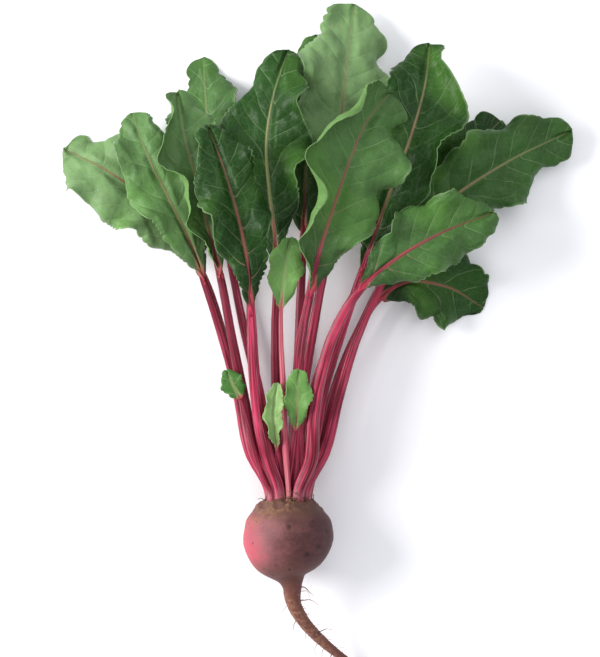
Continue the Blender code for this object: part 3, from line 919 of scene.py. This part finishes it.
def vein_line(flat):
    """Which side vein a place on a blade is nearest to, as a number that is whole on a vein."""
    across, run = flat[..., 0], flat[..., 1]
    out = np.abs(across)
    drift = relief(flat * VEIN_STRETCH, *VEIN_DRIFT)
    staggered = 0.5 * smooth_step(*VEIN_STAGGER, across)
    return (run - VEIN_LEAN * out - VEIN_BEND * out**2) / VEIN_SPACING + drift + staggered


def blade_relief(leaf, flat, line, shares):
    """How far a blade's skin stands up: quilted between veins, blistered, crumpled and creased."""
    out = np.abs(shares)
    soft = smooth_step(*RIB_FLANK, out) * (1 - smooth_step(*EDGE_FLANK, out))
    quilt = QUILT_HEIGHT * np.abs(np.sin(math.pi * line)) ** QUILT_ROUNDNESS
    blisters = relief(flat, *BLISTERS) + relief(flat, *FINE_BLISTERS)
    creases = CREASE_HEIGHT - np.abs(relief(flat * CREASE_STRETCH, *CREASES))
    height = (quilt + relief(flat, *CRUMPLE) + creases) * soft
    height = height + blisters * (RELIEF_AT_RIB + (1 - RELIEF_AT_RIB) * soft)
    return height * (YOUNG_RELIEF if leaf.young else 1.0)


def blade_sheet(leaf, rows, columns):
    """The blade's middle surface as points[row][column], with the layers that its finish reads."""
    keys, start = leaf_keys(leaf)
    end = key_distances(keys)[-1]
    along = np.linspace(0, 1, rows + 1)
    at = start + (end - start) * along
    centres, side, up = leaf_line(leaf, at)
    shares = np.linspace(0, 1, columns // 2 + 1)
    left = half_blade(leaf, 0, along, shares, end - start)
    right = half_blade(leaf, 1, along, shares, end - start)
    out = np.hstack([-left[0][:, :0:-1], right[0]])
    rise = np.hstack([left[1][:, :0:-1], right[1]])
    across = np.hstack([-(left[2] * shares)[:, :0:-1], right[2] * shares])
    seat = BLADE_SEAT * STALK_FLATNESS * stalk_radius(leaf, at, start, end)
    points = centres[:, None] + side[:, None] * out[..., None]
    points = points + up[:, None] * (rise + seat[:, None])[..., None]
    run = np.broadcast_to((along * (end - start))[:, None], across.shape)
    signed = np.concatenate([-shares[:0:-1], shares])
    flat = np.stack([across, run, np.full(run.shape, leaf.turn)], axis=-1)
    line = vein_line(flat)
    height = blade_relief(leaf, flat, line, signed)
    points = kept_in(points + grid_normals(points) * height[..., None])
    place = np.stack(np.broadcast_arrays(signed, along[:, None], 0.0), axis=-1)
    veins = np.stack(np.broadcast_arrays(line, *TONES[leaf.name]), axis=-1)
    return points, {"leaf": place, "flat": flat, "veins": veins}


def make_blade(leaf, material, slot):
    points, layers = blade_sheet(leaf, *(YOUNG_GRID if leaf.young else BLADE_GRID))
    name = f"leaf_{leaf.name}"
    piece(sheet(points, BLADE_THICKNESS, layers), name, material, slot, f"blade_{leaf.name}")


def stalk_radii(leaf, at, turns, start, end):
    """The stalk's radius at each ring and turn: ribbed, and grooved on top towards the blade."""
    narrowed = np.interp(at, [0, end * STALK_NARROWS_AT, end], [1, 1, STALK_TIP])
    radius = stalk_radius(leaf, at, start, end) * narrowed
    (few, deep, once), (many, shallow, twice) = STALK_RIDGES
    ridges = deep * np.abs(np.cos(few * turns + once * leaf.turn))
    ridges = ridges + shallow * np.cos(many * turns + twice * leaf.turn)
    groove = GROOVE_DEPTH * np.exp(-(((turns - math.pi / 2) / GROOVE_WIDTH) ** 2))
    depth = np.interp(at, [0, GROOVE_HALF_AT * start, start, end], GROOVE_DEPTHS)
    return radius[:, None] * (1 + ridges - np.outer(depth, groove))


def make_stalk(leaf, material):
    """The ridged stalk, sunk a little into the crown, and the midrib that it becomes."""
    keys, start = leaf_keys(leaf)
    end = key_distances(keys)[-1]
    at = end * np.linspace(0, STALK_REACH, YOUNG_STALK_RINGS if leaf.young else STALK_RINGS)
    centres, side, up = leaf_line(leaf, at)
    centres[0] = centres[0] - STALK_SUNK * unit(centres[1] - centres[0])
    turns = np.linspace(0, TURN, STALK_SIDES + 1)
    radii = stalk_radii(leaf, at, turns, start, end)
    places = ring_points(centres, side, up * STALK_FLATNESS, radii, turns)
    wobble = sum(relief(places, height, size, leaf.turn) for height, size in STALK_WOBBLES)
    places = places + unit(places - centres[:, None]) * seamless(wobble)[..., None]
    places[..., 2] = np.maximum(places[..., 2], STALK_LOWEST)
    ridges = np.stack(np.broadcast_arrays(turns / TURN, at[:, None], leaf.turn), axis=-1)
    share = smooth_step(start, end, at)[:, None] + 0 * turns
    rib = np.stack(np.broadcast_arrays(share, *TONES[leaf.name]), axis=-1)
    made = tube(places, {"stalk": ridges, "rib": rib})
    piece(made, f"stem_{leaf.name}", material, "stalk", f"stalk_{leaf.name}")


def stub(turn):
    """The dry, torn scale that an old leaf stalk leaves at the edge of the crown."""
    wide, tall = draws.uniform(*STUB_WIDTHS), draws.uniform(*STUB_TALLNESS)
    low, middle, top = STUB_HEIGHTS
    heights = (low, middle, top * tall)
    keys = np.array([crown_point(turn, ring, up) for ring, up in zip(STUB_RINGS, heights)])
    distances = key_distances(keys)
    at = np.linspace(0, distances[-1], STUB_STEPS)
    points = smooth_line(keys, at)
    out = unit(crown_point(turn, 2, 0) - crown_point(turn, 1, 0))
    along = np.broadcast_to(np.cross(out, (0.0, 1.0, -AXIS_DROP)), points.shape) * wide
    across = np.broadcast_to(STUB_DEPTH * out, points.shape)
    turns = np.linspace(0, TURN, STUB_SIDES + 1)
    torn = smooth_step(STUB_TORN_FROM, 1, at / at[-1])[:, None]
    tears = sum(depth * np.sin(count * turns + own * turn) for count, depth, own in STUB_TEARS)
    radii = np.interp(at, distances, STUB_RADII)[:, None] * (1 + torn * tears)
    return tube(ring_points(points, along, across, radii, turns), {})


def make_stubs(material):
    piece(joined([stub(turn) for turn in STUB_TURNS]), "old_stalk_ends", material, "root_skin")


def fibre():
    """A dry fibre that stands up among the stalks' feet and curls over."""
    turn, ring = draws.uniform(0, 360), draws.uniform(*FIBRE_RINGS)
    length, sweep = draws.uniform(*FIBRE_LENGTHS), draws.uniform(*FIBRE_SWEEPS)
    reach = np.linspace(0, 1, FIBRE_STEPS)
    bend = draws.uniform(*FIBRE_BENDS)
    heights = length * np.sin(bend * reach) / bend - FIBRE_SUNK
    rings = ring + draws.uniform(*FIBRE_LEANS) * length * (1 - np.cos(bend * reach))
    places = zip(reach, rings, heights)
    points = [crown_point(turn + sweep * r**2, ring, up) for r, ring, up in places]
    return sprig(np.array(points), np.interp(reach, [0, 1], FIBRE_RADII), FIBRE_SIDES)


def make_fibres(material):
    piece(joined([fibre() for _ in range(FIBRES)]), "dry_fibres", material, "root_skin")


def skin_finish():
    """The root's skin: dust-dulled purple-brown, pink on its left, olive and ochre at the shoulder.

    Its left flank is paler and pink, partly its own colour and partly painted light; its right
    flank is darker, with painted shade.

    Each tone is mixed over the ones before, by a step from none to full. Its two numbers are
    millimetres in the frame where x or y leads, broken up by noise, and else levels of the noise.
    """
    f = Finish("beetroot_skin", specular_ior_level=0.22)
    place = f.node("TexCoord", output="Object")
    mm = f.scaled(place, 1 / MM, 1 / MM, 1 / MM)
    x, y, z = f.parts(mm)
    clouds = f.noise(mm, 0.07, 3)
    fine = f.noise(mm, 0.55, 4, 0.6)
    grain = f.noise(mm, 2.2, 3, 0.6)
    base = f.mix(clouds.step(0.35, 0.65), SKIN["umber"], SKIN["brown"])
    # The left flank, towards the light, is paler and pink: partly the skin's own pink and dust,
    # partly painted light.
    dust_and_lit_left = (x * -1 + 14 * clouds + 7 * fine - 0.2 * abs(y - 2)).step(6, 32)
    base = f.mix(dust_and_lit_left * 0.62, base, SKIN["dust_and_lit_left"])
    pink_and_lit_left = (x * -1 + 8 * clouds + 7 * fine - 0.25 * abs(y + 8)).step(17, 40)
    base = f.mix(pink_and_lit_left * 0.85, base, SKIN["pink_and_lit_left"])
    mauve = f.noise(f.scaled(mm, 0.11, 0.16, 0.11), 1.0, 3, 0.6)
    base = f.mix(mauve.step(0.48, 0.72) * 0.3, base, SKIN["mauve"])
    bands = f.noise(f.scaled(mm, 0.04, 0.8, 0.04), 1.0, 3, 0.6)
    base = f.mix(bands.step(0.52, 0.76) * 0.15, base, SKIN["band"])
    # Painted shade: the right flank, away from the light, is darker.
    painted_shade_right = (x + 9 * clouds).step(4, 28)
    base = f.mix(painted_shade_right * 0.65, base, SKIN["painted_shade_right"])
    base = f.mix(fine.step(0.5, 0.75) * 0.28, base, SKIN["dust"])
    shoulder = (y + 9 * clouds - 7 * fine).step(15, 26)
    base = f.mix(shoulder * 0.75, base, SKIN["olive"])
    corky = (y - 0.45 * x + 6 * clouds).step(19, 31)
    cork = f.noise(mm, 0.2, 4, 0.7).step(0.46, 0.62) * corky
    base = f.mix(cork * 0.5, base, SKIN["cork"])
    dots = f.cells(mm, 0.38, "F1").step(0.3, 0.12) * corky
    base = f.mix(dots * 0.5, base, SKIN["cork dot"])
    low = (y * -1 + 7 * fine).step(10, 24)
    base = f.mix(low * 0.5, base, SKIN["low"])
    tail = (y * -1 + 8 * clouds).step(24, 42)
    base = f.mix(tail * 0.75, base, SKIN["tail"])
    # Ochre along the taproot's left edge: partly real ochre patches, partly a painted highlight.
    lit_left_edge = (y * -0.75 - x + 6 * clouds - 26).step(0, 8)
    ochre = (y * -1).step(26, 38) * f.noise(mm, 0.45, 4, 0.6).step(0.36, 0.62) * lit_left_edge
    base = f.mix(ochre * 0.6, base, SKIN["ochre"])
    spots = f.cells(mm, 0.1, "F1").step(0.2, 0.04) * fine.step(0.42, 0.6)
    base = f.mix(spots * 0.85, base, SKIN["spot"])
    base = f.mix(grain.step(0.6, 0.8) * 0.3, base, SKIN["grain"])
    for centre_x, centre_y, radius in SKIN_SPOTS:
        away = ((x - centre_x) ** 2 + (y - centre_y) ** 2) ** 0.5 + MARK_RAGGED * fine
        mark = away.step(radius + MARK_FADE, MARK_CORE) * z.above(MARKS_ABOVE)
        base = f.mix(mark * 0.85, base, SKIN["mark"])
    rings = f.noise(f.scaled(mm, 0.05, 1.1, 0.05), 1.0, 2)
    base = f.mix(rings.step(0.55, 0.72) * 0.5 * tail, base, SKIN["ring"])
    height = 0.5 * fine + 0.35 * grain + 0.8 * cork + 0.4 * rings * tail + 0.3 * bands
    rough_skin = 0.42 + 0.3 * fine + 0.15 * cork
    return f.paint(base_color=base, roughness=rough_skin, normal=f.bump(height, 0.5, 0.0006))


def dry_finish():
    """Torn ends of old stalks and dry fibres: dark crimson-brown, with straw-coloured fraying."""
    f = Finish("dry_tissue", roughness=0.75)
    place = f.node("TexCoord", output="Object")
    clouds = f.noise(place, 240, 3)
    fine = f.noise(place, 1100, 2)
    base = f.mix(clouds.step(0.4, 0.6), DRY_CRIMSON, DRY_BROWN)
    base = f.mix(fine.step(0.55, 0.7) * 0.4, base, DRY_STRAW)
    return f.paint(base_color=base, normal=f.bump(fine, 0.6, 0.0004))


def hair_finish():
    f = Finish("rootlet_skin", roughness=0.7)
    place = f.node("TexCoord", output="Object")
    blend = f.noise(place, 260, 2).step(0.4, 0.6)
    return f.paint(base_color=f.mix(blend, HAIR_PALE, HAIR_DARK))


def stalk_finish(name, deep, lit, pale):
    """A glossy stalk, with paler ridges lengthwise and darker stretches. run is in millimetres.

    Its lit tone and pale ridges are partly its own striping and partly painted highlight.
    """
    f = Finish(name, specular_ior_level=0.2, coat_weight=0.09, coat_roughness=0.2)
    turn, run, seed = f.parts(f.attribute("stalk"))
    streak_place = f.node("CombineXYZ", inputs={0: turn * 14, 1: run * 0.012, 2: seed})
    streaks = f.noise(streak_place, 1.0, 3, 0.6)
    fine = f.noise(f.node("CombineXYZ", inputs={0: turn * 45, 1: run * 0.03, 2: seed}), 1.0, 2)
    clouds = f.noise(f.node("CombineXYZ", inputs={0: turn * 2, 1: run * 0.03, 2: seed}), 1.0, 2)
    # Streaks of deep and lit crimson, with pale streaks: partly the stalk's own striping, partly
    # painted light and highlights.
    base = f.mix(streaks.step(0.35, 0.7), deep, lit)
    base = f.mix(fine.step(0.52, 0.8) * 0.5, base, pale)
    base = f.mix(clouds.step(0.42, 0.7) * 0.6, base, deep)
    own = f.noise(f.node("CombineXYZ", inputs={0: seed * 0.37, 1: run * 0.004}), 1.0, 1)
    base = f.mix(own.step(0.45, 0.65) * 0.6, base, deep)
    base = f.mix(run.step(12, 2) * 0.12, base, pale)
    share, _, redness = f.parts(f.attribute("rib"))
    base = f.mix(share.step(0.02, 0.3) * (0.9 - redness * 0.8), base, STEM_RIB_GREEN)
    base = f.mix(share.step(0.1, 0.7) * redness * 0.5, base, STEM_RIB_RED)
    height = 0.6 * streaks + 0.4 * fine
    rough_skin = 0.28 + 0.2 * fine
    return f.paint(base_color=base, roughness=rough_skin, normal=f.bump(height, 0.35, 0.0005))


def leaf_finish(name, shade, deep, fresh, glow, pale, under):
    """A leaf's skin: green, with faint veins, a green or crimson midrib and a paler underside."""
    f = Finish(name, specular_ior_level=0.15)
    share, along, below = f.parts(f.attribute("leaf"))
    line, paleness, redness = f.parts(f.attribute("veins"))
    flat = f.attribute("flat")
    out = abs(f.parts(flat)[0])
    from_vein = (0.5 - abs(line.fraction() - 0.5)) * VEIN_SPACING * VEIN_SLANT
    broad = f.noise(flat, 0.022, 1)
    clouds = f.noise(flat, 0.035, 2)
    patches = f.noise(flat, 0.07, 2)
    fine = f.noise(flat, 0.4, 3, 0.6)
    net = f.cells(flat, 0.3)
    branches = f.cells(f.node("VectorMath", inputs={0: flat, 1: (40, 0, 0)}), 0.11)
    fading = out.step(30, 4)
    vein = from_vein.step(0.5, 0.1) * patches.step(0.3, 0.6)
    base = f.mix((paleness * 1.3 + 1.1 * clouds + 0.3 * fine - 0.6).step(0.0, 1.0), deep, fresh)
    base = f.mix(paleness * paleness * 0.6, base, pale)
    base = f.mix(patches.step(0.45, 0.75) * 0.3, base, shade)
    base = f.mix(broad.step(0.5, 0.75) * 0.4, base, glow)
    base = f.mix(along.step(0.45, 0.0) * 0.6, base, shade)
    base = f.mix(branches.step(0.05, 0.0) * 0.05, base, pale)
    base = f.mix(net.step(0.09, 0.0) * 0.03, base, pale)
    # A paler rim along the edge: partly the leaf's own pale margin, partly painted glints.
    base = f.mix(abs(share).step(0.94, 1.0) * 0.35, base, pale)
    base = f.mix(below * 0.55, base, under)
    base = f.mix(vein * (0.25 + 0.6 * fading) * 0.3, base, pale)
    red = vein * out.step(14, 1) * along.step(0.8, 0.1) * redness
    base = f.mix(red * 0.8, base, VEIN_RED)
    foot = along.step(0.2, 0.0)
    rib = (out - 1.5 * (1 - along) - 1.2 * foot).step(0.9, -0.3)
    rib_tone = f.mix(redness, RIB_GREEN, RIB_RED)
    rib_tone = f.mix(foot * 0.9, rib_tone, RIB_FOOT)
    base = f.mix(rib * (0.8 - along * 0.3 + foot * 0.15), base, rib_tone)
    height = 0.6 * from_vein.step(0.0, 1.6) + 0.25 * net.step(0.0, 0.2) + 0.4 * fine
    height = height + 0.35 * branches.step(0.0, 0.12)
    rough_skin = 0.38 + 0.09 * fine + 0.16 * below
    return f.paint(base_color=base, roughness=rough_skin, normal=f.bump(height, 0.32, 0.0007))


# Floor and light, in metres
FLOOR_SIZE = 6.0
FLOOR_GAP = 0.0002
FLOOR_TINT = (0.92, 0.92, 0.935, 1.0)
LIT_POINT = (0.0, 0.14, 0.03)
SKY_TINT = (0.94, 0.95, 1.0, 1.0)
SKY_STRENGTH = 0.78


def floor_and_light():
    """A pale floor, a broad window light from the upper left and soft light all round."""
    bm = bmesh.new()
    bmesh.ops.create_grid(bm, x_segments=1, y_segments=1, size=FLOOR_SIZE)
    mesh = bpy.data.meshes.new("floor")
    bm.to_mesh(mesh)
    bm.free()
    floor = bpy.data.objects.new("floor", mesh)
    floor.location.z = -FLOOR_GAP
    bpy.context.scene.collection.objects.link(floor)
    paper = Finish("pale_floor", roughness=0.8)
    paper.paint(base_color=FLOOR_TINT)
    mesh.materials.append(paper.material)
    area_light("window", (-1.7, 0.45, 1.05), size=1.1, watts=52.0, tint=(1.0, 0.985, 0.965))
    area_light("fill", (0.6, 0.9, 1.7), size=1.6, watts=10.0, tint=(0.95, 0.96, 1.0))
    world = bpy.data.worlds.new("soft_room")
    world.use_nodes = True
    sky = world.node_tree.nodes["Background"]
    sky.inputs["Color"].default_value = SKY_TINT
    sky.inputs["Strength"].default_value = SKY_STRENGTH
    bpy.context.scene.world = world


def area_light(name, place, size, watts, tint):
    """A round light that shines on the middle of the beetroot."""
    lamp = bpy.data.lights.new(name, "AREA")
    lamp.shape = "DISK"
    lamp.size = size
    lamp.energy = watts
    lamp.color = tint
    holder = bpy.data.objects.new(name, lamp)
    holder.location = place
    holder.rotation_euler = (Vector(LIT_POINT) - Vector(place)).to_track_quat("-Z", "Y").to_euler()
    bpy.context.scene.collection.objects.link(holder)


# Camera: straight above, with the photo's frame, in metres
CAMERA_HEIGHT = 1.5
PIXEL = 0.70 * MM
PICTURE_LONG_SIDE = 657
CAMERA_PLACE = (0.0078, 0.1467)
SENSOR = 36.0
CLIP_START = 0.01


def make_camera():
    camera = bpy.data.cameras.new("camera")
    camera.sensor_width = SENSOR
    camera.lens = SENSOR * CAMERA_HEIGHT / (PICTURE_LONG_SIDE * PIXEL)
    camera.clip_start = CLIP_START
    holder = bpy.data.objects.new("camera", camera)
    holder.location = (*CAMERA_PLACE, CAMERA_HEIGHT)
    bpy.context.scene.collection.objects.link(holder)
    bpy.context.scene.camera = holder
    bpy.context.scene.view_settings.view_transform = "Standard"


def main():
    make_camera()
    floor_and_light()
    skin = skin_finish()
    hair = hair_finish()
    dry = dry_finish()
    crimson = stalk_finish("stalk_crimson", *STALK_CRIMSON)
    blush = stalk_finish("stalk_blush", *STALK_BLUSH)
    green = leaf_finish("leaf_green", *LEAF_GREENS)
    fresh = leaf_finish("young_green", *YOUNG_GREENS)
    make_root(skin)
    make_rootlets(hair)
    make_stubs(dry)
    make_fibres(dry)
    for leaf in LEAVES:
        make_stalk(leaf, blush if leaf.name == "young_middle" else crimson)
        slot = "young_leaf_green" if leaf.young else "leaf_green"
        make_blade(leaf, fresh if leaf.young else green, slot)


main()
